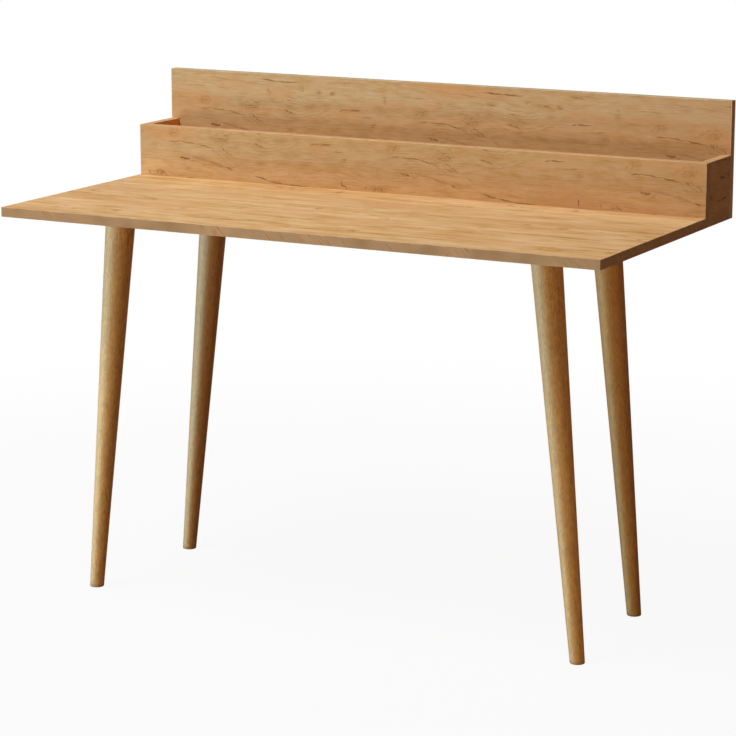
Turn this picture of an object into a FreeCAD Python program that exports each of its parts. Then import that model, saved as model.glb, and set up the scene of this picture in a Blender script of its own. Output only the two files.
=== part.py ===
import FreeCAD, Part
import math
import os

# Writing desk of faced chipboard, with a pen tray along its rear edge, on four splayed turned legs.
# Millimetres, +Z up, X along the desk, the user sits at -Y. The origin is on the floor, under the
# middle of the whole desk.

Vector = FreeCAD.Vector

# Boards
top_width = 1200.0
top_depth = 600.0              # front edge to the back board
top_thickness = 18.0
desk_height = 755.0            # floor to the writing surface
tray_depth = 120.0             # tray's front face to the back board
tray_height = 100.0            # above the writing surface
tray_board_thickness = 18.0
back_height = 200.0            # above the writing surface
back_thickness = 18.0
band_thickness = 1.0           # glued edge band, on each edge that shows
band_arris = 0.5               # rounding of the band's outer corners

# Legs
leg_top_diameter = 56.0
leg_foot_diameter = 27.0       # square to the leg's axis, at the floor
leg_splay = 5.6                # degrees from upright, sideways
leg_top_arris = 1.5
leg_foot_arris = 1.5
front_leg_inset = 166.0        # end of the top to the leg's axis, at the top's underside
rear_leg_inset = 186.0
front_leg_setback = 150.0      # front edge of the top to the leg's axis
rear_leg_setback = 140.0       # rear edge of the top to the leg's axis

# Leg plates, pressed from sheet, with a cup that is tilted to the leg
plate_side = 68.0
plate_corner_radius = 8.0
plate_thickness = 2.5
plate_seat_radius = 18.0
plate_cup_flare = 30.0         # degrees between the cup's wall and the leg's axis
plate_bend = 2.0               # inner radius of the pressed bends
plate_hole_edge = 7.0          # plate's edge to the middle of a screw hole
plate_hole_diameter = 4.6

# Hanger bolt and welded nut
bolt_diameter = 8.0
bolt_root_diameter = 6.4       # root of the wood thread
bolt_wood_length = 42.0
bolt_point_length = 6.0
bolt_chamfer = 0.8
nut_width = 13.0               # across flats
nut_height = 6.5
nut_headroom = 2.0             # nut's top to the desk top, along the leg's axis

# Plate screws
plate_screw_length = 12.0      # under the head
plate_screw_diameter = 3.4     # root of the thread
plate_screw_point = 3.0
plate_screw_head_diameter = 8.0
plate_screw_head_height = 2.4
plate_screw_recess_length = 4.4
plate_screw_recess_width = 1.1
plate_screw_recess_depth = 1.3

# Connector screws between the boards
connector_length = 50.0
connector_head_diameter = 10.0
connector_rim = 1.0            # straight part of the sunk head
connector_shank_diameter = 7.0
connector_root_diameter = 5.0
connector_point = 3.0
connector_socket_width = 4.0   # across flats
connector_socket_depth = 3.0
tray_connectors = 5            # along the tray's front board
back_connectors = 5            # along the back board
connector_end_margin = 70.0    # end of the board to the first connector

# Dowels between the boards
dowel_diameter = 8.0
dowel_length = 28.0
dowel_face_depth = 8.0         # in the board's face; the rest is in the other board's edge
dowel_chamfer = 1.0
dowel_end_room = 1.0           # glue room at each end
dowel_offset = 64.0            # connector to the dowel beside it

fastener_gap = 0.1             # between a fastener and its hole, on the radius
FINE = 0.001

# Places that follow from the sizes
half_width = top_width / 2
front = -(top_depth + back_thickness) / 2
back_face = front + top_depth
rear = back_face + back_thickness
surface = desk_height
underside = desk_height - top_thickness
tray_front = back_face - tray_depth
tray_inside = tray_front + tray_board_thickness
tray_middle = tray_front + tray_board_thickness / 2
tray_top = surface + tray_height
back_top = surface + back_height
plate_seat_drop = plate_thickness + nut_height + nut_headroom
plate_hole_offset = plate_side / 2 - plate_hole_edge

SIDES = (("left", -1), ("right", 1))
UP = Vector(0, 0, 1)
FORWARD = Vector(0, -1, 0)
BACKWARD = Vector(0, 1, 0)


def box(low, high):
    """Solid between its lowest and its highest corner."""
    size = high - low
    return Part.makeBox(size.x, size.y, size.z, low)


def mirrored_span(side, inner, outer, y, z):
    """Lowest and highest corner of a span given from the desk's middle outwards, on one side."""
    ends = sorted((side * inner, side * outer))
    return Vector(ends[0], y[0], z[0]), Vector(ends[1], y[1], z[1])


def turned(profile):
    """Solid turned about Z from (radius, height) points that start and end on the axis."""
    points = [Vector(radius, 0, height) for radius, height in profile]
    return Part.Face(Part.makePolygon(points + points[:1])).revolve(Vector(), UP, 360)


def hexagon(width, height):
    """Hexagon prism about Z, given its width across flats."""
    corner = width / math.sqrt(3)
    turns = [math.radians(60 * corner_number) for corner_number in range(6)]
    points = [Vector(corner * math.cos(turn), corner * math.sin(turn), 0) for turn in turns]
    return Part.Face(Part.makePolygon(points + points[:1])).extrude(Vector(0, 0, height))


def aimed(shape, start, direction):
    """Copy of a shape that was made along Z, moved to start and turned to the direction."""
    placed = shape.copy()
    placed.Placement = FreeCAD.Placement(start, FreeCAD.Rotation(UP, direction))
    return placed


def edge_band(low, high, outward, round_ends):
    """Edge band with its outer corners rounded, along its length or all round."""
    band = box(low, high)
    reach = max(vertex.Point.dot(outward) for vertex in band.Vertexes)
    outer = [edge for edge in band.Edges
             if all(abs(vertex.Point.dot(outward) - reach) < FINE for vertex in edge.Vertexes)]
    longest = max(edge.Length for edge in outer)
    return band.makeFillet(band_arris, [edge for edge in outer if round_ends or edge.Length > longest - FINE])


def connector_profile(through, gap):
    """Outline of a connector screw through a board, or with a gap, of the stepped hole for it."""
    head = connector_head_diameter / 2
    shank = connector_shank_diameter / 2
    root = connector_root_diameter / 2
    return [(0, -gap), (head + gap, -gap), (head + gap, connector_rim),
            (shank + gap, connector_rim + head - shank), (shank + gap, through),
            (root + gap, through), (root + gap, connector_length - connector_point + gap),
            (0, connector_length + gap)]


def connector(through, start, direction):
    """Connector screw driven in at start, flush with the face there, and its hole."""
    socket = hexagon(connector_socket_width, connector_socket_depth)
    screw = turned(connector_profile(through, 0)).cut(socket)
    hole = turned(connector_profile(through, fastener_gap))
    return aimed(screw, start, direction), aimed(hole, start, direction)


def dowel(joint, direction):
    """Dowel across a joint, from the face of one board into the edge of the other, and its hole."""
    radius = dowel_diameter / 2
    pin = turned([(0, 0), (radius - dowel_chamfer, 0), (radius, dowel_chamfer),
                  (radius, dowel_length - dowel_chamfer), (radius - dowel_chamfer, dowel_length),
                  (0, dowel_length)])
    bottom = dowel_length + dowel_end_room
    hole = turned([(0, -dowel_end_room), (radius + fastener_gap, -dowel_end_room),
                   (radius + fastener_gap, bottom), (0, bottom)])
    start = joint - direction * dowel_face_depth
    return aimed(pin, start, direction), aimed(hole, start, direction)


def fasteners(pairs):
    """Split pairs of fastener and hole into two lists."""
    return [pair[0] for pair in pairs], [pair[1] for pair in pairs]


def spread(count):
    """Places along X, evenly spaced between the end margins."""
    reach = half_width - connector_end_margin
    return [-reach + 2 * reach * number / (count - 1) for number in range(count)]


def beside(places):
    """Places of the dowels, on the inner side of each connector but the middle one."""
    return [place - math.copysign(dowel_offset, place) for place in places if abs(place) > dowel_offset]


def tray_front_fasteners():
    """Connectors and dowels between the top and the tray's front board."""
    places = spread(tray_connectors)
    screws = [connector(top_thickness, Vector(x, tray_middle, underside), UP) for x in places]
    dowels = [dowel(Vector(x, tray_middle, surface), UP) for x in beside(places)]
    return fasteners(screws), fasteners(dowels)


def tray_side_fasteners():
    """Connectors and dowels that hold each tray side to the top, the front board and the back board."""
    length = back_face - tray_inside
    middle_height = surface + tray_height / 2
    from_below, from_behind, under, corner = [], [], [], []
    for _, side in SIDES:
        x = side * (half_width - tray_board_thickness / 2)
        from_below.append(connector(top_thickness, Vector(x, tray_inside + length / 2, underside), UP))
        from_behind.append(connector(back_thickness, Vector(x, rear, middle_height), FORWARD))
        under.append(dowel(Vector(x, tray_inside + length / 4, surface), UP))
        under.append(dowel(Vector(x, back_face - length / 4, surface), UP))
        corner.append(dowel(Vector(x, tray_inside, middle_height), BACKWARD))
    return fasteners(from_below), fasteners(from_behind), fasteners(under), fasteners(corner)


def back_fasteners():
    """Connectors and dowels between the back board and the top's rear edge."""
    height = underside + top_thickness / 2
    places = spread(back_connectors)
    screws = [connector(back_thickness, Vector(x, rear, height), FORWARD) for x in places]
    dowels = [dowel(Vector(x, back_face, height), FORWARD) for x in beside(places)]
    return fasteners(screws), fasteners(dowels)


def leg_axes():
    """Name, foot of the axis on the top's underside, and axis downwards, of each leg."""
    slope = math.radians(leg_splay)
    rows = (("front", front_leg_inset, front + front_leg_setback),
            ("rear", rear_leg_inset, back_face - rear_leg_setback))
    for row, inset, y in rows:
        for hand, side in SIDES:
            start = Vector(side * (half_width - inset), y, underside)
            yield row + "_" + hand, start, Vector(side * math.sin(slope), 0, -math.cos(slope))


def leg(seat, axis):
    """Turned leg from its seat on the plate, sawn level at the floor, bored for its bolt."""
    top = leg_top_diameter / 2
    foot = leg_foot_diameter / 2
    length = seat.z / -axis.z
    overrun = leg_foot_diameter
    end = foot - (top - foot) / length * overrun
    blank = aimed(turned([(0, 0), (top - leg_top_arris, 0), (top, leg_top_arris), (end, length + overrun),
                          (0, length + overrun)]), seat, axis)
    reach = blank.BoundBox
    floor_up = box(Vector(reach.XMin, reach.YMin, 0), Vector(reach.XMax, reach.YMax, reach.ZMax))
    sawn = blank.common(floor_up).Solids[0]
    sole_edges = [edge for edge in sawn.Edges if edge.BoundBox.ZMax < FINE]
    bore = Part.makeCylinder(bolt_root_diameter / 2 + fastener_gap, bolt_wood_length + fastener_gap)
    return sawn.makeFillet(leg_foot_arris, sole_edges).cut(aimed(bore, seat, axis))


def hanger_bolt(seat, axis):
    """Bolt with a wood thread down into the leg and a machine thread up through plate and nut."""
    radius = bolt_diameter / 2
    root = bolt_root_diameter / 2
    end = -(plate_thickness + nut_height)
    bolt = turned([(0, end), (radius - bolt_chamfer, end), (radius, end + bolt_chamfer), (radius, 0),
                   (root, 0), (root, bolt_wood_length - bolt_point_length), (0, bolt_wood_length)])
    return aimed(bolt, seat, axis)


def leg_nut(seat, axis):
    """Hexagon nut on the floor of the plate's cup."""
    bore = Part.makeCylinder(bolt_diameter / 2 + fastener_gap, nut_height)
    nut = hexagon(nut_width, nut_height).cut(bore)
    return aimed(nut, seat - axis * plate_thickness, -axis)


def cup_form(radius, depth, bend):
    """Cone about Z that narrows to a flat seat at this depth, with the seat's rim rounded."""
    flare = math.tan(math.radians(plate_cup_flare))
    above = plate_side / 2
    cone = turned([(0, -above), (radius + (depth + above) * flare, -above), (radius, depth), (0, depth)])
    rim = [edge for edge in cone.Edges if edge.BoundBox.ZMin > depth - FINE]
    return cone.makeFillet(bend, rim)


def bent(sheet, height, radius):
    """Pressed sheet with the cup's mouth rounded where it leaves the flange's face at this height."""
    mouth = [edge for edge in sheet.Edges if edge.isClosed()
             and abs(edge.BoundBox.ZMin - height) < FINE and abs(edge.BoundBox.ZMax - height) < FINE]
    return sheet.makeFillet(radius, mouth)


def leg_plate(start, axis):
    """Square flange under the top, with a pressed cup whose floor is square to the leg."""
    half = plate_side / 2
    blank = box(start - Vector(half, half, plate_thickness), start + Vector(half, half, 0))
    corners = [edge for edge in blank.Edges if abs(edge.tangentAt(0).z) > 1 - FINE]
    flange = blank.makeFillet(plate_corner_radius, corners)
    slant = math.radians(plate_cup_flare)
    inner_radius = plate_seat_radius + plate_thickness * (math.tan(slant) - 1 / math.cos(slant))
    outer = cup_form(plate_seat_radius, plate_seat_drop, plate_bend + plate_thickness)
    inner = cup_form(inner_radius, plate_seat_drop - plate_thickness, plate_bend)
    around = Vector(plate_side, plate_side, plate_side)
    below = box(start - around, start + Vector(plate_side, plate_side, 0))
    cup = aimed(outer, start, axis).common(below)
    pressed = flange.fuse(cup).cut(aimed(inner, start, axis)).removeSplitter()
    pressed = bent(pressed, underside - plate_thickness, plate_bend)
    pressed = bent(pressed, underside, plate_bend + plate_thickness)
    bolt_hole = Part.makeCylinder(bolt_diameter / 2 + fastener_gap, plate_seat_drop + plate_thickness)
    screw_hole = Part.makeCylinder(plate_hole_diameter / 2, plate_thickness)
    holes = [aimed(screw_hole, place, UP) for place in plate_screw_places(start)]
    return pressed.cut(holes + [aimed(bolt_hole, start, axis)])


def plate_screw_places(start):
    """Middles of a plate's screw heads, on the flange's lower face."""
    signs = ((-1, -1), (-1, 1), (1, -1), (1, 1))
    return [start + Vector(x * plate_hole_offset, y * plate_hole_offset, -plate_thickness) for x, y in signs]


def plate_screw(place):
    """Pan head screw with a cross recess, up through a plate into the top, and its pilot hole."""
    head = plate_screw_head_diameter / 2
    root = plate_screw_diameter / 2
    crown = head / 2
    neck = plate_screw_length - plate_screw_point
    screw = turned([(0, -plate_screw_head_height), (crown, -plate_screw_head_height),
                    (head, -plate_screw_head_height / 2), (head, 0), (root, 0), (root, neck),
                    (0, plate_screw_length)])
    long = plate_screw_recess_length / 2
    wide = plate_screw_recess_width / 2
    bottom = plate_screw_recess_depth - plate_screw_head_height
    bars = [box(Vector(-x, -y, -plate_screw_head_height), Vector(x, y, bottom))
            for x, y in ((long, wide), (wide, long))]
    pilot = turned([(0, 0), (root + fastener_gap, 0), (root + fastener_gap, neck + fastener_gap),
                    (0, plate_screw_length + fastener_gap)])
    return aimed(screw.cut(bars), place, UP), aimed(pilot, place, UP)


def legs():
    """The pieces of the four legs by name, and the pilot holes that they need in the top."""
    pieces = {}
    pilots = []
    for name, start, axis in leg_axes():
        seat = start + axis * plate_seat_drop
        screws, holes = fasteners([plate_screw(place) for place in plate_screw_places(start)])
        pieces[name + "_leg"] = [leg(seat, axis)]
        pieces[name + "_leg_plate"] = [leg_plate(start, axis)]
        pieces[name + "_leg_nut"] = [leg_nut(seat, axis)]
        pieces[name + "_leg_bolt"] = [hanger_bolt(seat, axis)]
        pieces[name + "_plate_screws"] = screws
        pilots += holes
    return pieces, pilots


def top_bands():
    """Edge bands of the desk top: the front one is full width, the side ones end behind it."""
    behind = front + band_thickness
    pieces = {"top_front_edge_band": [edge_band(
        Vector(-half_width, front, underside), Vector(half_width, behind, surface), FORWARD, True)]}
    for hand, side in SIDES:
        low, high = mirrored_span(side, half_width - band_thickness, half_width,
                                  (behind, back_face), (underside, surface))
        pieces["top_" + hand + "_edge_band"] = [edge_band(low, high, Vector(side, 0, 0), False)]
    return pieces


def tray_bands():
    """Edge bands of the tray's front board and of its two sides."""
    crown = tray_top - band_thickness
    pieces = {"tray_front_top_edge_band": [edge_band(
        Vector(-half_width, tray_front, crown), Vector(half_width, tray_inside, tray_top), UP, True)]}
    for hand, side in SIDES:
        low, high = mirrored_span(side, half_width - band_thickness, half_width,
                                  (tray_front, tray_inside), (surface, crown))
        pieces["tray_front_" + hand + "_edge_band"] = [edge_band(low, high, Vector(side, 0, 0), False)]
        low, high = mirrored_span(side, half_width - tray_board_thickness, half_width,
                                  (tray_inside, back_face), (crown, tray_top))
        pieces["tray_" + hand + "_top_edge_band"] = [edge_band(low, high, UP, False)]
    return pieces


def back_bands():
    """Edge bands all round the back board: top and bottom full width, the ends between them."""
    crown = back_top - band_thickness
    sole = underside + band_thickness
    pieces = {
        "back_top_edge_band": [edge_band(
            Vector(-half_width, back_face, crown), Vector(half_width, rear, back_top), UP, True)],
        "back_bottom_edge_band": [edge_band(
            Vector(-half_width, back_face, underside), Vector(half_width, rear, sole), -UP, True)]}
    for hand, side in SIDES:
        low, high = mirrored_span(side, half_width - band_thickness, half_width,
                                  (back_face, rear), (sole, crown))
        pieces["back_" + hand + "_edge_band"] = [edge_band(low, high, Vector(side, 0, 0), False)]
    return pieces


def desk():
    """Every piece of the desk by name."""
    pieces, pilots = legs()
    (tray_screws, tray_screw_holes), (tray_dowels, tray_dowel_holes) = tray_front_fasteners()
    from_below, from_behind, under, corner = tray_side_fasteners()
    (back_screws, back_screw_holes), (back_dowels, back_dowel_holes) = back_fasteners()

    core = half_width - band_thickness
    top = box(Vector(-core, front + band_thickness, underside), Vector(core, back_face, surface))
    pieces["desk_top"] = [top.cut(pilots + tray_screw_holes + tray_dowel_holes + from_below[1] + under[1]
                                  + back_screw_holes + back_dowel_holes)]
    board = box(Vector(-core, tray_front, surface), Vector(core, tray_inside, tray_top - band_thickness))
    pieces["tray_front_board"] = [board.cut(tray_screw_holes + tray_dowel_holes + corner[1])]
    side_holes = from_below[1] + from_behind[1] + under[1] + corner[1]
    for hand, side in SIDES:
        low, high = mirrored_span(side, half_width - tray_board_thickness, half_width,
                                  (tray_inside, back_face), (surface, tray_top - band_thickness))
        pieces["tray_" + hand + "_side"] = [box(low, high).cut(side_holes)]
    back = box(Vector(-core, back_face, underside + band_thickness),
               Vector(core, rear, back_top - band_thickness))
    pieces["back_board"] = [back.cut(back_screw_holes + back_dowel_holes + from_behind[1])]

    pieces.update(top_bands())
    pieces.update(tray_bands())
    pieces.update(back_bands())
    pieces["tray_front_screws"] = tray_screws
    pieces["tray_front_dowels"] = tray_dowels
    pieces["tray_side_lower_screws"] = from_below[0]
    pieces["tray_side_rear_screws"] = from_behind[0]
    pieces["tray_side_dowels"] = under[0]
    pieces["tray_corner_dowels"] = corner[0]
    pieces["back_screws"] = back_screws
    pieces["back_dowels"] = back_dowels
    return pieces


os.makedirs("parts", exist_ok=True)
for node, shapes in desk().items():
    solids = [solid for shape in shapes for solid in shape.Solids]
    piece = solids[0] if len(solids) == 1 else Part.makeCompound(solids)
    piece.exportStep("parts/" + node + ".step")
    print(node, len(solids), round(sum(solid.Volume for solid in solids) / 1000, 2), "cm3",
          all(solid.isValid() for solid in solids))
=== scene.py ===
from math import hypot, radians

import bmesh
import bpy
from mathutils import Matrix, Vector

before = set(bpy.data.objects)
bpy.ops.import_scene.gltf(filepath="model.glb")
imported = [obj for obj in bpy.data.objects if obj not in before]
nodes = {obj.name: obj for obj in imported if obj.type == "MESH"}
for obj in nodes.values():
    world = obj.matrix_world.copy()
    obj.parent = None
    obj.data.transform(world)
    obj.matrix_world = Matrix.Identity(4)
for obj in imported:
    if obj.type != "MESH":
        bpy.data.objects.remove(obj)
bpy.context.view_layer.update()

scene = bpy.context.scene
scene.view_settings.view_transform = "Standard"

MM = 1000.0                          # object coordinates are metres, patterns are laid out in millimetres
MIX_FACTOR, MIX_A, MIX_B = 0, 6, 7   # a colour Mix node's inputs
MIX_OUT = 2
WHITE = "#FFFFFF"


def linear(code):
    """An sRGB hex colour as linear red, green, blue and alpha."""
    parts = [int(code[at:at + 2], 16) / 255 for at in (1, 3, 5)]
    return [c / 12.92 if c <= 0.04045 else ((c + 0.055) / 1.055) ** 2.4 for c in parts] + [1.0]


def add(tree, kind, links=None, **settings):
    """A node of that kind. links gives an input its value or the socket that feeds it."""
    node = tree.nodes.new("ShaderNode" + kind)
    for name, value in settings.items():
        setattr(node, name, value)
    for name, value in (links or {}).items():
        if isinstance(value, bpy.types.NodeSocket):
            tree.links.new(value, node.inputs[name])
        else:
            node.inputs[name].default_value = value
    return node


def calc(tree, operation, *values):
    """The result of a Math node."""
    return add(tree, "Math", dict(enumerate(values)), operation=operation).outputs[0]


def remap(tree, value, low, high, to_low=0.0, to_high=1.0, **settings):
    """A value moved from the range low to high into the other range, and held there."""
    return add(tree, "MapRange", {"Value": value, "From Min": low, "From Max": high, "To Min": to_low,
                                  "To Max": to_high}, **settings).outputs[0]


def smooth(tree, *ranges):
    """The same, eased at both ends."""
    return remap(tree, *ranges, interpolation_type="SMOOTHSTEP")


def noise(tree, place, sizes, detail, offset=(0.0, 0.0, 0.0), **inputs):
    """Noise whose features have those sizes along the place's three axes, in the place's unit."""
    stretched = add(tree, "Mapping", {"Vector": place, "Location": offset,
                                      "Scale": [1 / size for size in sizes]})
    return add(tree, "TexNoise", {"Vector": stretched.outputs[0], "Scale": 1.0, "Detail": detail,
                                  **inputs}).outputs[0]


def swing(tree, base, field, reach):
    """The base, moved to both sides by a noise field, less its middle of 0.5 and times the reach."""
    return calc(tree, "MULTIPLY_ADD", calc(tree, "SUBTRACT", field, 0.5), reach, base)


def ramp(tree, value, stops):
    """The colour that a value has among those stops, each a place and a colour."""
    node = add(tree, "ValToRGB", {"Fac": value})
    elements = node.color_ramp.elements
    while len(elements) < len(stops):
        elements.new(1.0)
    for element, (place, code) in zip(elements, stops):
        element.position = place
        element.color = linear(code)
    return node.outputs[0]


def blend(tree, share, under, over, **settings):
    """One colour laid over another by that share."""
    return add(tree, "Mix", {MIX_FACTOR: share, MIX_A: under, MIX_B: over}, data_type="RGBA",
               **settings).outputs[MIX_OUT]


def new_material(name):
    """An empty material: its node tree and its Principled shader, wired to the output."""
    material = bpy.data.materials.new(name)
    material.use_nodes = True
    tree = material.node_tree
    tree.nodes.clear()
    shader = add(tree, "BsdfPrincipled")
    add(tree, "OutputMaterial", {"Surface": shader.outputs[0]})
    return material, tree, shader


def coat(tree, shader, colour, rough, relief):
    """Feeds the shader its colour, roughness and relief."""
    for name, socket in (("Base Color", colour), ("Roughness", rough), ("Normal", relief.outputs[0])):
        tree.links.new(socket, shader.inputs[name])


def dress(material, *names):
    """Gives the material to the CAD nodes of those names."""
    for name in names:
        nodes[name].material_slots[0].material = material


# Oak decor: melamine-faced chipboard, a printed paper of knotty oak pressed to the board with a satin,
# lightly pored plate. The eye gets honey-coloured streaks along the board, grain that swirls round small
# knots, a few dark drying cracks, and a soft sheen that breaks up over the pores.

DESK_WIDTH = 1200.0          # mm
DECOR_REPEAT = 490.0         # mm, the print repeats along the grain
HIDDEN_SIDE_SHIFT = 217.0    # mm, the board's other face carries another part of the print
PRINT_SPAN = (-60.0, 540.0)  # mm across the grain, the range over which planks are laid out
THROUGH = 60.0               # mm, size of the patterns through the board
BEND = 22.0                  # mm, reach of the grain's slow bends; the noise uses about a third of a reach
WAVER = 7.0                  # mm, reach of the cracks' and knots' waver across the grain
SWAY = 26.0                  # mm, and along it
RUFFLE = 10.0                # mm, reach of the grain's ruffles round a knot
KNOT_CORE = 0.7              # of a knot's radius, its dark part
STROKE_REACH = 0.72          # of a crack stroke's length, from its middle; past 0.5 the strokes overlap
GROWTH_LINE_SPACING = 5.2    # mm
GROWTH_LINE_SPREAD = 12.0    # mm, reach of the lines' own waver
POLISHED = 80.0              # mm, how much of the print hands polish
PRINT_GLOSS = 0.2            # specular level of the prints, which are nearly matt

# Cracks of the uprights: the points u, v that each runs through, its half width, all mm, and its darkness.
# u runs along the grain from the left end, v down from the top of the tray's front.
UPRIGHT_CRACKS = [
    (((71, 30), (94, 28), (130, 32), (167, 38)), 1.5, 0.85),
    (((211, -36), (246, -33), (293, -33)), 1.9, 1.00),
    (((386, 18), (404, 16), (431, 15)), 1.6, 0.90),
    (((434, 28), (461, 27)), 1.5, 0.75),
    (((265, 87), (296, 94), (327, 98), (373, 99)), 1.8, 0.90),
    (((263, 22), (274, 26), (288, 29)), 2.0, 0.80),
    (((92, 60), (101, 61), (112, 63)), 3.0, 0.95),
    (((188, 33), (197, 42), (214, 51)), 1.8, 0.65),
    (((182, 36), (190, 45), (202, 52)), 1.5, 0.45),
    (((167, 36), (176, 46), (188, 55)), 1.6, 0.35),
    (((228, 60), (247, 68)), 1.6, 0.35),
    (((115, 56), (154, 63), (206, 76)), 4.2, 0.30),
    (((198, 73), (211, 78)), 2.6, 0.70),
    (((246, 29), (269, 37), (294, 37), (328, 30), (362, 18)), 1.5, 0.30),
    (((254, 19), (270, 28), (294, 30), (318, 25), (340, 19)), 1.5, 0.25),
    (((264, 3), (278, 4)), 1.8, 0.60),
    (((92, -35), (150, -29), (223, -24)), 1.8, 0.30),
    (((36, -17), (58, -17), (82, -15)), 1.6, 0.40),
    (((458, 84), (461, 98)), 2.4, 0.90),
    (((20, 89), (21, 97)), 3.4, 0.45),
    (((38, 91), (40, 98)), 3.6, 0.40),
    (((51, 89), (53, 98)), 3.6, 0.50),
    (((14, 8), (46, 10)), 1.4, 0.25),
    (((404, -40), (452, -36)), 1.8, 0.30),
    (((80, 103), (104, 102), (128, 101)), 2.4, 0.70),
    (((66, 20), (69, 11), (78, 6)), 2.0, 0.24),
    (((84, 4), (93, 9), (90, 17)), 2.2, 0.26),
    (((75, 20), (76, 14), (84, 10)), 2.2, 0.32),
    (((163, 24), (171, 13), (180, 9)), 2.2, 0.26),
    (((188, 6), (201, 12), (203, 20)), 2.2, 0.26),
    (((177, 29), (176, 20), (188, 14)), 2.2, 0.32),
    (((185, 24), (194, 20), (199, 27)), 2.2, 0.32),
]
# Knots and smudges of the uprights: u, v, radius along and across the grain, how far the grain is pushed
# aside, all mm, and darkness.
UPRIGHT_KNOTS = [
    (81, 13, 26, 18, 8, 0.30), (188, 20, 36, 24, 10, 0.32), (290, 6, 70, 36, 14, 0.05),
    (102, 61, 22, 10, 5, 0.35), (123, 65, 16, 10, 6, 0.30), (227, -13, 15, 13, 5, 0.55),
    (341, -16, 10, 9, 4, 0.85), (370, -15, 11, 10, 4, 0.85), (300, -20, 12, 9, 4, 0.45),
    (208, 76, 18, 9, 5, 0.40), (464, 42, 12, 8, 3, 0.40), (488, -8, 14, 20, 6, 0.45),
    (460, 124, 22, 12, 5, 0.40), (402, -36, 26, 9, 5, 0.35), (46, 92, 34, 12, 0, 0.30),
]

# Cracks and knots of the top: u from the left end, v back from the front edge.
TOP_CRACKS = [
    (((218, 404), (261, 402), (288, 398)), 4.0, 0.55),
    (((52, 305), (101, 306), (136, 302)), 4.5, 0.55),
    (((190, 300), (236, 297)), 4.0, 0.35),
    (((284, 272), (326, 268)), 3.4, 0.40),
    (((318, 86), (401, 79), (474, 66)), 3.6, 0.45),
    (((140, 250), (206, 212)), 3.4, 0.30),
    (((360, 330), (440, 322)), 5.0, 0.35),
    (((60, 180), (170, 172)), 5.0, 0.25),
]
TOP_KNOTS = [
    (38, 258, 22, 22, 6, 0.75), (336, 453, 14, 16, 4, 0.65), (362, 451, 13, 15, 4, 0.60),
    (392, 438, 14, 15, 4, 0.65), (116, 252, 12, 13, 4, 0.50), (200, 214, 15, 15, 4, 0.60),
    (457, 269, 13, 18, 4, 0.65), (307, 146, 15, 16, 4, 0.60), (400, 78, 15, 15, 4, 0.65),
    (87, 53, 12, 13, 4, 0.60), (126, 51, 12, 13, 4, 0.60), (99, 74, 11, 12, 4, 0.55),
    (468, 450, 18, 26, 8, 0.90), (208, 69, 20, 24, 8, 0.80), (399, 200, 12, 22, 4, 0.45),
    (90, 530, 20, 12, 6, 0.40), (300, 560, 20, 12, 6, 0.40),
]

# Streaks: length and width in mm, and share of the tone.
UPRIGHT_STREAKS = [(900, 30, 0.24), (260, 9, 0.15), (80, 4, 0.19), (26, 2.2, 0.40), (36, 14, 0.33)]
TOP_STREAKS = [(900, 38, 0.55), (260, 15, 0.48), (110, 7, 0.44), (34, 2.2, 0.46), (70, 26, 0.50)]
UPRIGHT_DECOR = (UPRIGHT_CRACKS, UPRIGHT_KNOTS, UPRIGHT_STREAKS)
TOP_DECOR = (TOP_CRACKS, TOP_KNOTS, TOP_STREAKS)

OAK_TONES = [(0.18, "#A67638"), (0.36, "#C59A60"), (0.50, "#D4AE7C"), (0.64, "#DCB98B"), (0.85, "#E8CCA2")]
# Tints across the print, some of them also painted light: share of the print's span, and colour. White
# leaves the oak as it is.
UPRIGHT_PLANKS = [(0.00, "#DEEFF8"), (0.085, "#DEEBF2"), (0.112, "#DBE3E7"), (0.17, "#E5ECF3"),
                  (0.20, "#EBEBEA"), (0.235, "#FFFFFF"), (0.30, "#FFFFFC")]
# The back turns lighter and warmer just above the tray, where the tray's front shades it: painted light in
# that shade.
BACK_PLANKS_WITH_PAINTED_LIGHT = [(0.00, "#E3F0FB"), (0.088, "#E3F2FF"), (0.116, "#DBDFE3"), (0.16, "#ECE7E4"),
               (0.19, "#FEF9F4")]
# The tray's right side is painted a little warmer: painted warm shade on that shaded end.
RIGHT_SIDE_PAINTED_SHADE_TINTS = [(0.00, "#FFF8EC"), (1.00, "#FFF6E8")]
# The tray's left side is painted orange: painted warm bounce light on its shaded inner face.
LEFT_SIDE_PAINTED_BOUNCE_TINTS = [(0.00, "#FFD8B0"), (1.00, "#FFE0BC")]
TOP_PLANKS = [(0.08, "#FEFFFF"), (0.20, "#FAF8F6"), (0.30, "#FEFFFF"), (0.42, "#FAF6F4"),
              (0.52, "#FEFFFF"), (0.66, "#FAF6F4"), (0.80, "#FEFEFA"), (0.95, "#FEF5EE")]


def distance_weights(direction, middle, size):
    """Weights for u, v and 1 that add up to the distance from the middle that way, in units of size."""
    du, dv = direction
    return du / size, dv / size, -(du * middle[0] + dv * middle[1]) / size


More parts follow.
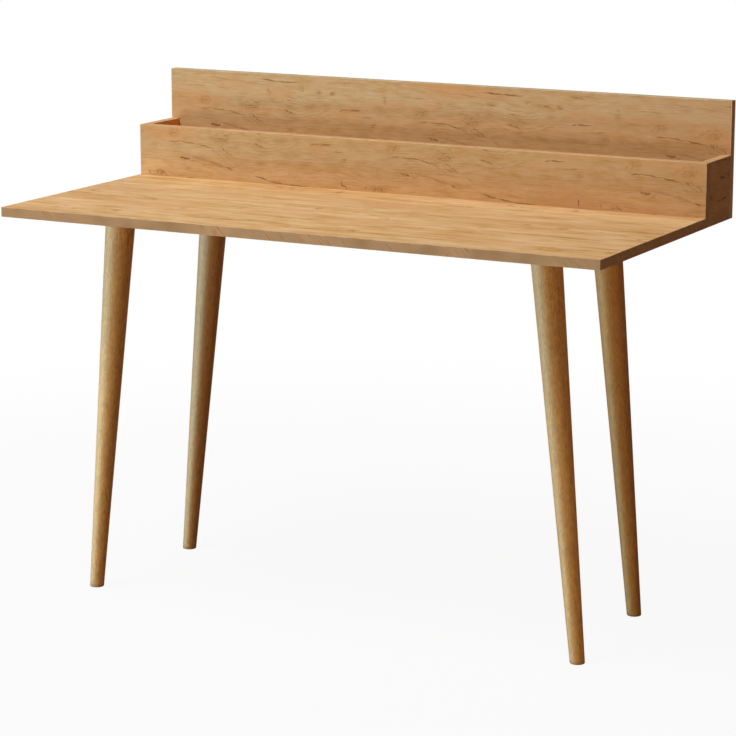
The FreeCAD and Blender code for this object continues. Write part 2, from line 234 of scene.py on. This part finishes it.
def oak_board(name, axes, start, senses, decor, plank_tints_and_painted_light, painted_warm_drift):
    """Printed oak on a board. axes name its directions along the grain, across it and through the board,
    start is the print's origin on them in mm, and senses are 1 or -1. Past 0 through the board lies the
    face whose print is shifted. decor holds the cracks, knots and streaks, and
    plank_tints_and_painted_light the tints of the print, which on some boards also carry painted light.
    painted_warm_drift is the share of red-brown painted over the print along the desk's width, as painted
    warm light towards the right end."""
    cracks, knots, streaks = decor
    material, tree, shader = new_material(name)
    here = add(tree, "TexCoord").outputs["Object"]
    object_axes = add(tree, "SeparateXYZ", {"Vector": here}).outputs
    u, v, depth = [calc(tree, "MULTIPLY_ADD", object_axes[axis], MM * sense, -origin * sense)
                   for axis, origin, sense in zip(axes, start, senses)]
    place = add(tree, "CombineXYZ", {"X": u, "Y": v, "Z": depth}).outputs[0]

    # Slow bends of the grain, about 190 mm long and 50 mm wide.
    grain = swing(tree, v, noise(tree, place, (190, 50, THROUGH), 2.0), BEND)

    # The print's own repeat. Its marks waver, across the grain in bends about 25 mm long and along it in
    # bends of about 13 mm. The third number, 1, serves the cracks' distances.
    other_face = calc(tree, "GREATER_THAN", depth, 0.0)
    shifted = calc(tree, "MULTIPLY_ADD", other_face, HIDDEN_SIDE_SHIFT, u)
    turn = calc(tree, "WRAP", shifted, DECOR_REPEAT, 0.0)
    waver = noise(tree, place, (25, 25, 25), 4.0, Roughness=0.65)
    wavered = swing(tree, v, waver, WAVER)
    mottle = noise(tree, place, (13, 13, 13), 2.0)
    swayed = swing(tree, turn, mottle, SWAY)
    on_print = add(tree, "CombineXYZ", {"X": swayed, "Y": wavered, "Z": 1.0}).outputs[0]

    knot_dark = 0.0
    swirl = 0.0
    for ku, kv, long_radius, cross_radius, push, dark in knots:
        spot = add(tree, "Mapping", {"Vector": on_print, "Location": (ku, kv, 1),
                                     "Scale": (long_radius, cross_radius, 1)}, vector_type="TEXTURE")
        away = add(tree, "VectorMath", {0: spot.outputs[0]}, operation="LENGTH").outputs["Value"]
        near = smooth(tree, away, 1.0, 0.0)
        grain = calc(tree, "MULTIPLY_ADD", near, -push, grain)
        swirl = calc(tree, "MAXIMUM", swirl, near)
        knot_dark = calc(tree, "MAXIMUM", knot_dark, smooth(tree, away, KNOT_CORE, 0.0, 0.0, dark))
    # A knot is drawn in closed squiggles, the height lines of the 13 mm noise.
    level = calc(tree, "PINGPONG", mottle, 0.06)
    knot_dark = calc(tree, "MULTIPLY", knot_dark, smooth(tree, level, 0.02, 0.05, 0.25, 1.15))
    # Round a knot the grain is also ruffled.
    grain = calc(tree, "MULTIPLY_ADD", calc(tree, "MULTIPLY", mottle, swirl), RUFFLE, grain)

    # A crack is a chain of slim pointed strokes that overlap, and fades in places.
    crack_dark = 0.0
    for points, half_width, dark in cracks:
        for (u0, v0), (u1, v1) in zip(points, points[1:]):
            length = hypot(u1 - u0, v1 - v0)
            du, dv = (u1 - u0) / length, (v1 - v0) / length
            middle = ((u0 + u1) / 2, (v0 + v1) / 2)
            along, aside = [
                add(tree, "VectorMath", {0: on_print, 1: distance_weights(direction, middle, size)},
                    operation="DOT_PRODUCT").outputs["Value"]
                for direction, size in (((du, dv), STROKE_REACH * length), ((-dv, du), half_width))]
            away = calc(tree, "MULTIPLY_ADD", along, along, calc(tree, "ABSOLUTE", aside))
            crack_dark = calc(tree, "MAXIMUM", crack_dark, smooth(tree, away, 1.0, 0.2, 0.0, dark))
    crack_dark = calc(tree, "MULTIPLY", crack_dark, remap(tree, waver, 0.3, 0.7, 0.55, 1.0))

    # Streaks that follow the grain.
    flowing = add(tree, "CombineXYZ", {"X": u, "Y": grain, "Z": depth}).outputs[0]
    tone = 0.5
    for long_size, cross_size, share in streaks:
        streak = noise(tree, flowing, (long_size, cross_size, THROUGH), 2.0, Roughness=0.6)
        tone = swing(tree, tone, streak, share)
    # Growth lines come and go along the board, and are darkest round a knot.
    swell = noise(tree, flowing, (120, 25, THROUGH), 1.0)
    spread = calc(tree, "MULTIPLY_ADD", swell, GROWTH_LINE_SPREAD, grain)
    half_space = GROWTH_LINE_SPACING / 2
    line = smooth(tree, calc(tree, "PINGPONG", spread, half_space), half_space / 2, half_space)
    shown = smooth(tree, swell, 0.40, 0.62, 0.0, 0.22)
    shown = calc(tree, "MAXIMUM", shown, calc(tree, "MULTIPLY", swirl, 0.65))
    tone = calc(tree, "MULTIPLY_ADD", calc(tree, "MULTIPLY", line, shown), -0.28, tone)
    wood = ramp(tree, tone, OAK_TONES)

    # Planks of the print differ in tint, and on the back and the tray's sides these tints also hold painted
    # light. Broad patches, about 260 mm by 55 mm, lean to red-brown.
    tint = ramp(tree, remap(tree, grain, *PRINT_SPAN), plank_tints_and_painted_light)
    wood = blend(tree, 1.0, wood, tint, blend_type="MULTIPLY")
    patch = noise(tree, place, (260, 55, THROUGH), 2.0, offset=(3.1, 7.7, 0.4))
    wood = blend(tree, smooth(tree, patch, 0.5, 0.72, 0.0, 0.6), wood, linear("#C89663"))
    # Painted light: the print is painted redder towards the desk's right end, standing in for warmer light
    # falling there.
    if painted_warm_drift:
        wood = blend(tree, remap(tree, u, 0.0, DESK_WIDTH, 0.0, painted_warm_drift), wood, linear("#B67C4A"))

    # Pores: printed dashes about 9 mm by 0.6 mm, with the press plate's dents in the same places.
    pore = smooth(tree, noise(tree, place, (9, 0.6, 30), 1.0), 0.60, 0.75)
    faint_pore = calc(tree, "MULTIPLY", pore, 0.35)
    for mask, colour in ((faint_pore, "#A47A45"), (knot_dark, "#8A5A2A"), (crack_dark, "#6E390A")):
        wood = blend(tree, mask, wood, linear(colour))

    # Pores are duller. Hands polish the top's front and the uprights' upper edges, where the print begins.
    rough = calc(tree, "MULTIPLY_ADD", pore, 0.12, remap(tree, tone, 0.2, 0.8, 0.60, 0.50))
    rough = calc(tree, "SUBTRACT", rough, smooth(tree, wavered, POLISHED, 0.0, 0.0, 0.08))
    relief = add(tree, "Bump", {"Strength": 0.25, "Distance": 0.2 / MM, "Height": pore}, invert=True)
    coat(tree, shader, wood, rough, relief)
    shader.inputs["Specular IOR Level"].default_value = PRINT_GLOSS
    return material


# Where the boards lie, in mm: the ends at which prints begin, and the planes halfway through the boards.
LEFT_END = -600.0
FRONT_EDGE = -309.0
TRAY_TOP = 855.0
TOP_MIDDLE = 746.0
TRAY_FRONT_MIDDLE = 180.0
BACK_MIDDLE = 300.0
RIGHT_SIDE_MIDDLE = 591.0
BACK_PRINT_LIFT = 53.0       # mm, the back board's print sits this much higher than the tray front's
SIDE_PRINT_LIFT = 26.0       # mm, and the tray sides' prints this much
LEFT_SIDE_START = 119.0      # mm back, where the tray sides' prints begin
RIGHT_SIDE_START = 148.0
# Share of painted warm light towards the uprights' right end.
UPRIGHT_PAINTED_WARM_DRIFT = 0.3

for board, where, axes, start, senses, decor, plank_tints_and_painted_light, painted_warm_drift in (
        ("desk_top", "top", "XYZ", (LEFT_END, FRONT_EDGE, TOP_MIDDLE), (1, 1, -1),
         TOP_DECOR, TOP_PLANKS, 0.0),
        ("tray_front_board", "tray_front", "XZY", (LEFT_END, TRAY_TOP, TRAY_FRONT_MIDDLE), (1, -1, 1),
         UPRIGHT_DECOR, UPRIGHT_PLANKS, UPRIGHT_PAINTED_WARM_DRIFT),
        ("back_board", "back", "XZY", (LEFT_END, TRAY_TOP + BACK_PRINT_LIFT, BACK_MIDDLE), (1, -1, 1),
         UPRIGHT_DECOR, BACK_PLANKS_WITH_PAINTED_LIGHT, UPRIGHT_PAINTED_WARM_DRIFT),
        ("tray_left_side", "tray_left_side", "YZX",
         (LEFT_SIDE_START, TRAY_TOP + SIDE_PRINT_LIFT, -RIGHT_SIDE_MIDDLE), (1, -1, 1),
         UPRIGHT_DECOR, LEFT_SIDE_PAINTED_BOUNCE_TINTS, 0.0),
        ("tray_right_side", "tray_right_side", "YZX",
         (RIGHT_SIDE_START, TRAY_TOP + SIDE_PRINT_LIFT, RIGHT_SIDE_MIDDLE), (1, -1, -1),
         UPRIGHT_DECOR, RIGHT_SIDE_PAINTED_SHADE_TINTS, 0.0)):
    dress(oak_board("melamine_oak_print_on_" + where, axes, start, senses, decor, plank_tints_and_painted_light, painted_warm_drift), board)


# Edge band: ABS strip 1 mm thick, printed to go with the oak and glued on. Its print is cut at a slant, so
# the eye gets greyer wood with short diagonal strokes, and a thin broken pale line where an arris is worn.

ARRIS_WEAR = 0.9             # mm, how far the wear reaches from an arris


def edge_band(name, along, tints, arris_axis, arrises):
    """Printed band that runs along that axis, in tints from dark to light. Its arrises lie at those places
    in mm on the arris axis."""
    material, tree, shader = new_material(name)
    here = add(tree, "TexCoord").outputs["Object"]
    axes = add(tree, "SeparateXYZ", {"Vector": here}).outputs
    side = calc(tree, "ADD", *[axes[axis] for axis in "XYZ" if axis != along])
    slant = calc(tree, "ADD", axes[along], side)
    counter = calc(tree, "SUBTRACT", axes[along], side)
    laid = add(tree, "CombineXYZ", {"X": slant, "Y": counter}).outputs[0]

    # Strokes about 4 mm apart and 60 mm long, bunched in patches about 90 mm long.
    stroke = noise(tree, laid, (4 / MM, 60 / MM, 1.0), 3.0)
    bunch = noise(tree, laid, (90 / MM, 90 / MM, 90 / MM), 1.0)
    wood = ramp(tree, bunch, list(zip((0.3, 0.5, 0.7), tints)))
    dark_stroke = smooth(tree, stroke, 0.48, 0.70, 0.0, 0.7)
    seen = calc(tree, "MULTIPLY", dark_stroke, smooth(tree, bunch, 0.42, 0.65))
    wood = blend(tree, seen, wood, linear("#8A6238"))

    # Wear comes and goes about every 30 mm along the arris, and leaves it smoother.
    rub = noise(tree, here, (30 / MM, 30 / MM, 30 / MM), 2.0)
    on_arris = 0.0
    for at in arrises:
        near = calc(tree, "COMPARE", axes[arris_axis], at / MM, ARRIS_WEAR / MM)
        on_arris = calc(tree, "MAXIMUM", on_arris, near)
    worn = calc(tree, "MULTIPLY", on_arris, smooth(tree, rub, 0.42, 0.62, 0.0, 0.35))
    wood = blend(tree, worn, wood, linear("#E3C8A2"))
    rough = calc(tree, "MULTIPLY_ADD", worn, -0.2, remap(tree, stroke, 0.0, 1.0, 0.52, 0.62))
    relief = add(tree, "Bump", {"Strength": 0.2, "Distance": 0.1 / MM, "Height": stroke})
    coat(tree, shader, wood, rough, relief)
    shader.inputs["Specular IOR Level"].default_value = PRINT_GLOSS
    return material


# Tints from dark to light.
FRONT_BAND_TINTS = ("#9A7D5B", "#A88C68", "#B2946E")
WARM_BAND_TINTS = ("#BF9669", "#C7A073", "#CDA779")
BACK_BAND_TINTS = ("#AF9C78", "#BAA681", "#C2AE8A")
# The back's end bands are painted lighter than its other bands: painted light that lifts the right end,
# which lies in shade.
BACK_END_BAND_PAINTED_LIGHT_TINTS = ("#D2B492", "#DCC09E", "#E4CAA8")
TOP_FACES = (737.0, 755.0)                      # mm up, the top's underside and surface
UPRIGHT_FACES = (171.0, 189.0, 291.0, 309.0)    # mm back, the faces of the tray's front and of the back
TRAY_SIDE_FACES = (-600.0, -582.0, 582.0, 600.0)    # mm across

for where, along, tints, arris_axis, arrises, edges in (
        ("top_along_width", "X", FRONT_BAND_TINTS, "Z", TOP_FACES, ["top_front"]),
        ("top_along_depth", "Y", WARM_BAND_TINTS, "Z", TOP_FACES, ["top_left", "top_right"]),
        ("tray_along_width", "X", WARM_BAND_TINTS, "Y", UPRIGHT_FACES, ["tray_front_top"]),
        ("back_along_width", "X", BACK_BAND_TINTS, "Y", UPRIGHT_FACES, ["back_top", "back_bottom"]),
        ("tray_along_depth", "Y", WARM_BAND_TINTS, "X", TRAY_SIDE_FACES,
         ["tray_left_top", "tray_right_top"]),
        ("tray_upright", "Z", WARM_BAND_TINTS, "Y", UPRIGHT_FACES,
         ["tray_front_left", "tray_front_right"]),
        ("back_upright", "Z", BACK_END_BAND_PAINTED_LIGHT_TINTS, "Y", UPRIGHT_FACES, ["back_left", "back_right"])):
    dress(edge_band("abs_edge_band_of_" + where, along, tints, arris_axis, arrises),
          *[edge + "_edge_band" for edge in edges])


# Beech: turned on a lathe, stained to go with the oak and given a satin lacquer. The eye gets fine
# lengthwise grain, the short brown flecks of beech, and a soft highlight along the side that faces the
# light.

LEG_SPLAY = radians(5.6)
LACQUER_GLOSS = 1.0          # specular level, so that the sheen shows though the lacquer is rough
# The rear pair is painted a shade deeper: painted shade for the rear legs, which stand deeper under the top
# and farther from the lamps. Tints from dark to light.
FRONT_LEG_TINTS = ("#916126", "#AF7F3A", "#BF8F47", "#D1A45C")
REAR_LEG_PAINTED_SHADE_TINTS = ("#82521A", "#9D6B29", "#AB7933", "#BC8C44")
# Figure: size across and along the leg in mm, curl, and share of the tone. First the broad growth figure,
# then curls, then fine wavy lines, drawn at 2.4 mm to show.
BEECH_FIGURE = ((18, 420, 0.4, 0.40), (7, 22, 1.8, 0.60), (2.4, 16, 1.2, 0.50))
SCUFF_RAGGED = 12.0          # mm, how far the scuffs' upper rim comes and goes
SCUFF_FADE = 3.0             # mm, over which they fade to both sides of it


def turned_beech(name, splay, tints):
    """Beech in those tints, whose grain follows a leg that leans sideways by that angle."""
    material, tree, shader = new_material(name)
    here = add(tree, "TexCoord").outputs["Object"]
    upright = add(tree, "Mapping", {"Vector": here, "Rotation": (0, splay, 0),
                                    "Scale": (MM, MM, MM)}).outputs[0]
    tone = 0.5
    for cross_size, long_size, curl, share in BEECH_FIGURE:
        figure = noise(tree, upright, (cross_size, cross_size, long_size), 3.0, Distortion=curl)
        tone = swing(tree, tone, figure, share)
    wood = ramp(tree, tone, list(zip((0.25, 0.45, 0.6, 0.8), tints)))
    flecks = noise(tree, upright, (1.4, 1.4, 7), 0.0)
    wood = blend(tree, smooth(tree, flecks, 0.62, 0.72, 0.0, 0.4), wood, linear("#8C6436"))
    # Scuffs: the lowest few millimetres of the foot are rubbed dull and a little grubby.
    height = add(tree, "SeparateXYZ", {"Vector": here}).outputs["Z"]
    ragged = calc(tree, "MULTIPLY_ADD", flecks, -SCUFF_RAGGED / MM, height)
    scuff = smooth(tree, ragged, SCUFF_FADE / MM, -SCUFF_FADE / MM, 0.0, 0.45)
    wood = blend(tree, scuff, wood, linear("#7C6142"))
    rough = calc(tree, "MULTIPLY_ADD", scuff, 0.3, remap(tree, tone, 0.0, 1.0, 0.70, 0.60))
    relief = add(tree, "Bump", {"Strength": 0.15, "Distance": 0.2 / MM, "Height": tone})
    coat(tree, shader, wood, rough, relief)
    shader.inputs["Specular IOR Level"].default_value = LACQUER_GLOSS
    return material


for pair, tints in (("front", FRONT_LEG_TINTS), ("rear", REAR_LEG_PAINTED_SHADE_TINTS)):
    for side, splay in (("left", -LEG_SPLAY), ("right", LEG_SPLAY)):
        leg = pair + "_" + side + "_leg"
        dress(turned_beech("turned_beech_" + leg, splay, tints), leg)


# Zinc: steel plated in a barrel and passivated clear. The eye gets a cool grey metal that is cloudy rather
# than mirror-bright, with fine lines from rolling or turning and dull, faintly yellow blotches.

ZINC_TONES = [(0.45, "#A9A693"), (0.60, "#BFC2C4"), (0.75, "#CDD2D8"), (0.90, "#D9DDE0")]


def zinc_plated(name, line_sizes):
    """Plated steel whose fine lines have those sizes in mm along X, Y and Z."""
    material, tree, shader = new_material(name)
    here = add(tree, "TexCoord").outputs["Object"]
    lines = noise(tree, here, [size / MM for size in line_sizes], 2.0)
    cloud = noise(tree, here, (7 / MM, 7 / MM, 7 / MM), 3.0)
    mixed = calc(tree, "MULTIPLY_ADD", lines, 0.35, cloud)
    rough = remap(tree, mixed, 0.45, 0.90, 0.48, 0.26)
    relief = add(tree, "Bump", {"Strength": 0.2, "Distance": 0.05 / MM, "Height": lines})
    coat(tree, shader, ramp(tree, mixed, ZINC_TONES), rough, relief)
    shader.inputs["Metallic"].default_value = 1.0
    return material


CORNERS = ("front_left", "front_right", "rear_left", "rear_right")
dress(zinc_plated("zinc_plated_pressed_sheet", (25, 0.8, 0.8)),
      *[corner + "_leg_plate" for corner in CORNERS])
dress(zinc_plated("zinc_plated_turned_steel", (3, 3, 0.8)),
      *[corner + piece for corner in CORNERS for piece in ("_leg_nut", "_leg_bolt", "_plate_screws")])
dress(zinc_plated("zinc_plated_connector_screws", (0.8, 0.8, 3)),
      "tray_front_screws", "tray_side_lower_screws", "tray_side_rear_screws", "back_screws")


# Dowels: beech, milled and fluted, left raw. The eye gets pale matt wood with fine dark flecks.

RAW_BEECH_TONES = [(0.30, "#C9A679"), (0.50, "#D8B98D"), (0.70, "#E2C79F")]


def raw_beech(name):
    """Unfinished beech, with its grain along no one way, as the dowels lie both upright and level."""
    material, tree, shader = new_material(name)
    here = add(tree, "TexCoord").outputs["Object"]
    cloud = noise(tree, here, (6 / MM, 6 / MM, 6 / MM), 4.0)
    flecks = noise(tree, here, (1.2 / MM, 1.2 / MM, 1.2 / MM), 0.0)
    wood = blend(tree, smooth(tree, flecks, 0.62, 0.75, 0.0, 0.5), ramp(tree, cloud, RAW_BEECH_TONES),
                 linear("#A67F50"))
    rough = remap(tree, cloud, 0.0, 1.0, 0.85, 0.7)
    relief = add(tree, "Bump", {"Strength": 0.3, "Distance": 0.1 / MM, "Height": cloud})
    coat(tree, shader, wood, rough, relief)
    return material


dress(raw_beech("fluted_raw_beech"),
      "tray_front_dowels", "tray_side_dowels", "tray_corner_dowels", "back_dowels")


# Stage: a pale floor and a white surround. The camera sees both as white, and the floor keeps the desk's
# shadow. Reflections see them white on the left and grey on the right, as with a dark card on that side.
# The light that the floor throws back up is warm, so that the shaded sides are brown rather than grey.

FLOOR_HALF_WIDTH = 25.0      # m
SHADOW_ZONE = (0.8, 2.6)     # m from the middle, where the floor goes over to plain white
NEAR_GLOW = 0.93             # how much of the floor is plain white near the desk; the rest takes the shadow
CARD_GREY = 0.11             # of white
FLOOR_CARD_EDGE = (-0.45, -0.9)     # m across, from card to white
WORLD_CARD_EDGE = (-0.5, -0.9)      # the same in the surround, as a direction's sideways part
AMBIENT = 0.1                # strength of the surround's light


def seen_by(tree):
    """Whether a ray comes from the camera, and whether from a reflection or through glass."""
    rays = add(tree, "LightPath").outputs
    return rays["Is Camera Ray"], calc(tree, "MAXIMUM", rays["Is Glossy Ray"], rays["Is Transmission Ray"])


def stage_floor():
    """A wide flat floor, clear from below."""
    grid = bmesh.new()
    bmesh.ops.create_grid(grid, x_segments=1, y_segments=1, size=FLOOR_HALF_WIDTH)
    mesh = bpy.data.meshes.new("floor")
    grid.to_mesh(mesh)
    grid.free()
    floor = bpy.data.objects.new("floor", mesh)
    scene.collection.objects.link(floor)
    material = bpy.data.materials.new("white_studio_floor")
    material.use_nodes = True
    tree = material.node_tree
    tree.nodes.clear()
    here = add(tree, "TexCoord").outputs["Object"]
    by_camera, mirrored = seen_by(tree)
    away = add(tree, "VectorMath", {0: here}, operation="LENGTH").outputs["Value"]
    lift = smooth(tree, away, *SHADOW_ZONE, NEAR_GLOW, 1.0)
    glowing = calc(tree, "MULTIPLY_ADD", lift, by_camera, mirrored)
    sideways = add(tree, "SeparateXYZ", {"Vector": here}).outputs["X"]
    strength = calc(tree, "MAXIMUM", smooth(tree, sideways, *FLOOR_CARD_EDGE, CARD_GREY, 1.0), by_camera)
    bounce = blend(tree, by_camera, linear("#9A7553"), linear("#A8A8A8"))
    matt = add(tree, "BsdfDiffuse", {"Color": bounce})
    glow = add(tree, "Emission", {"Color": linear(WHITE), "Strength": strength})
    upper = add(tree, "MixShader", {0: glowing, 1: matt.outputs[0], 2: glow.outputs[0]})
    clear = add(tree, "BsdfTransparent")
    from_below = add(tree, "NewGeometry").outputs["Backfacing"]
    both = add(tree, "MixShader", {0: from_below, 1: upper.outputs[0], 2: clear.outputs[0]})
    add(tree, "OutputMaterial", {"Surface": both.outputs[0]})
    mesh.materials.append(material)


def studio_world():
    """A white surround that gives a weak warm light."""
    world = bpy.data.worlds.new("studio")
    scene.world = world
    world.use_nodes = True
    tree = world.node_tree
    tree.nodes.clear()
    by_camera, mirrored = seen_by(tree)
    sideways = add(tree, "SeparateXYZ", {"Vector": add(tree, "TexCoord").outputs["Object"]}).outputs["X"]
    brightness = smooth(tree, sideways, *WORLD_CARD_EDGE, CARD_GREY, 1.0)
    shown = calc(tree, "MULTIPLY_ADD", brightness, mirrored, by_camera)
    warm = add(tree, "Background", {"Color": linear("#FFC498"), "Strength": AMBIENT})
    plain = add(tree, "Background", {"Color": linear(WHITE), "Strength": 1.0})
    mix = add(tree, "MixShader", {0: shown, 1: warm.outputs[0], 2: plain.outputs[0]})
    add(tree, "OutputWorld", {"Surface": mix.outputs[0]})


def softbox(name, place, aim, size, power, colour=WHITE, mirrored=False):
    """An area lamp at that place in m, turned to the aim, of that width and height, with its power in W.
    mirrored says whether reflections show it."""
    light = bpy.data.lights.new(name, "AREA")
    light.shape = "RECTANGLE"
    light.size, light.size_y = size
    light.energy = power
    light.color = linear(colour)[:3]
    lamp = bpy.data.objects.new(name, light)
    scene.collection.objects.link(lamp)
    lamp.location = place
    lamp.rotation_euler = (Vector(aim) - Vector(place)).to_track_quat("-Z", "Y").to_euler()
    lamp.visible_camera = False
    lamp.visible_glossy = mirrored
    return lamp


def linked(name, pieces):
    """A collection of those CAD nodes, for a lamp that lights or is blocked by them alone."""
    group = bpy.data.collections.new(name)
    for piece in pieces:
        group.objects.link(nodes[piece])
    return group


DESK_MIDDLE = (0.0, 0.0, 0.7)
LEGS_MIDDLE = (0.0, 0.0, 0.4)
LEGS = [corner + "_leg" for corner in CORNERS]

stage_floor()
studio_world()
softbox("key_softbox", (-1.4, -2.0, 5.3), DESK_MIDDLE, (2.6, 2.6), 308.0, mirrored=True)
softbox("low_front_softbox", (-1.4, -3.9, 0.35), LEGS_MIDDLE, (3.4, 0.6), 70.0)
# Some lamps are for the legs alone: a wide low reflector on the left, as a white floor would be, whose
# sheen runs along their left sides and is weaker on the rear right leg, which stands farthest from it, and
# a weak low lamp that opens up their right sides.
shades = linked("legs_and_top", LEGS + ["desk_top"])
for name, power, colour, pieces in (("left_sheen_softbox", 620.0, "#DAFFE2", LEGS[:3]),
                                    ("left_weak_sheen_softbox", 397.0, "#E3FFCC", LEGS[3:])):
    sheen = softbox(name, (-4.5, -3.2, -0.9), (0.0, 0.0, 0.2), (7.0, 2.6), power, colour, mirrored=True)
    sheen.visible_diffuse = False
    sheen.light_linking.receiver_collection = linked(name + "_receivers", pieces)
    sheen.light_linking.blocker_collection = shades
low_right = softbox("low_right_softbox", (2.2, -0.6, 0.35), LEGS_MIDDLE, (1.0, 0.6), 6.0, "#FFD2A2")
low_right.light_linking.receiver_collection = linked("legs", LEGS)
low_right.light_linking.blocker_collection = shades
# A small warm lamp is for the inner face of the tray's left side alone.
inner = softbox("tray_softbox", (1.4, -0.2, 1.5), (-0.58, 0.24, 0.8), (0.6, 0.6), 6.0, "#FFB278")
inner.light_linking.receiver_collection = linked("tray_left", ["tray_left_side"])
# A very weak lamp keeps the right end from going too dark.
softbox("right_end_softbox", (2.2, -0.6, 0.8), DESK_MIDDLE, (1.0, 0.6), 0.9)
# A low lamp from behind lights the rear of the back board and does not reach the top.
softbox("rear_softbox", (-0.6, 3.4, 0.75), DESK_MIDDLE, (2.4, 1.0), 65.0)


# Camera: a long lens from the front right, a little above the desk.

CAMERA_PLACE = (2.3539, -4.4522, 1.5485)    # m
CAMERA_DOWN = 12.281                        # degrees below level
CAMERA_TURN = 27.832                        # degrees to the left of straight back

camera_data = bpy.data.cameras.new("camera")
camera_data.sensor_width = 36.0
camera_data.lens = 134.93
camera_data.clip_end = 100.0
camera = bpy.data.objects.new("camera", camera_data)
scene.collection.objects.link(camera)
camera.location = CAMERA_PLACE
camera.rotation_euler = (radians(90.0 - CAMERA_DOWN), 0.0, radians(CAMERA_TURN))
scene.camera = camera
